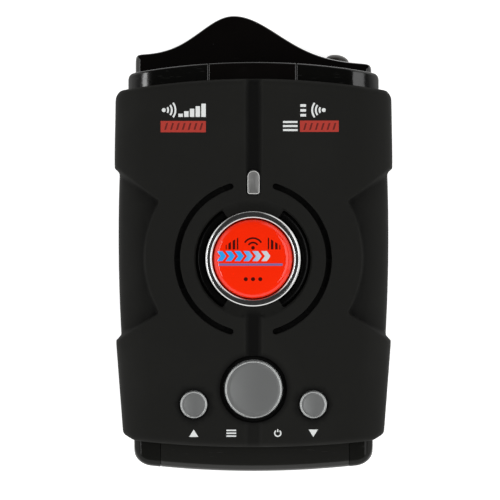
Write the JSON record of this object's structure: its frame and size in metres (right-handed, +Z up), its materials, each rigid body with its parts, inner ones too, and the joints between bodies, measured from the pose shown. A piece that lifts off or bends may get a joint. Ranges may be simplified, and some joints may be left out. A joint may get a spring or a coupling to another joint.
{
  "type": "dashboard radar detector",
  "caption": "Slim black dashboard radar detector with a bell-shaped nose lens, a domed red badge over its speaker, three keys and a rear display.",
  "frame": {"origin": "centre of the object's footprint at the surface it stands on, under its grip pads", "axes": "+Y towards the windscreen, the nose lens; -Y towards the driver, the display; +X to the driver's right; +Z up"},
  "size_m": [0.069, 0.1134, 0.0312],
  "materials": {
    "soft_black": "matt soft-touch black moulding",
    "gloss_black": "polished black moulding",
    "smoke_lens": "near-black infrared-pass lens, polished",
    "clear_lens": "clear moulded lens",
    "chrome": "bright plated ring",
    "red_resin": "clear domed resin over a red print",
    "silver_key": "spun grey cap with a bright rim",
    "light_guide": "grey translucent light guide",
    "rubber": "ribbed anti-slip rubber",
    "label": "blank silver film label",
    "cloth": "black woven speaker cloth",
    "board_green": "green solder mask on glass-fibre board",
    "chip_black": "black epoxy moulding",
    "zinc": "die-cast zinc",
    "steel": "plated steel",
    "cone_paper": "pressed black paper"
  },
  "bodies": {
    "case": {"audio_amplifier": "chip_black", "badge_dome": "red_resin", "badge_ring": "chrome", "board_header": "chip_black", "board_screw_left": "steel", "board_screw_right": "steel", "capacitor_1": "zinc", "capacitor_2": "zinc", "case_screw_front_left": "steel", "case_screw_front_right": "steel", "case_screw_rear_left": "steel", "case_screw_rear_right": "steel", "crystal_can": "steel", "display_board": "board_green", "display_module": "chip_black", "display_window": "smoke_lens", "down_switch": "chip_black", "eye_board": "board_green", "eye_lens": "clear_lens", "eye_sensor": "chip_black", "front_bezel": "gloss_black", "front_grip_pad": "rubber", "front_lens": "smoke_lens", "horn_antenna": "zinc", "horn_screw_left": "steel", "horn_screw_right": "steel", "laser_board": "board_green", "laser_sensor": "chip_black", "laser_window": "smoke_lens", "led_stand": "chip_black", "light_pipe": "light_guide", "lower_case": "soft_black", "main_board": "board_green", "menu_switch": "chip_black", "mixer_shield": "steel", "power_coil": "chip_black", "power_jack": "chip_black", "processor": "chip_black", "rating_label": "label", "rear_bezel": "gloss_black", "rear_grip_pad": "rubber", "speaker_cloth": "cloth", "speaker_cone": "cone_paper", "speaker_frame": "steel", "speaker_magnet": "zinc", "status_led": "light_guide", "up_switch": "chip_black", "upper_case": "soft_black"},
    "menu_key": {"menu_button": "silver_key", "menu_plunger": "chip_black"},
    "up_key": {"up_button": "silver_key", "up_plunger": "chip_black"},
    "down_key": {"down_button": "silver_key", "down_plunger": "chip_black"}
  },
  "joints": [
    {"name": "menu_press", "type": "slide", "parent": "case", "child": "menu_key", "axis": [0, 0, -1], "range_m": [0, 0.0005], "stiffness_N_per_m": 1200, "springref_m": -0.0002},
    {"name": "up_press", "type": "slide", "parent": "case", "child": "up_key", "axis": [0, 0, -1], "range_m": [0, 0.0005], "stiffness_N_per_m": 1000, "springref_m": -0.0002},
    {"name": "down_press", "type": "slide", "parent": "case", "child": "down_key", "axis": [0, 0, -1], "range_m": [0, 0.0005], "stiffness_N_per_m": 1000, "springref_m": -0.0002}
  ]
}
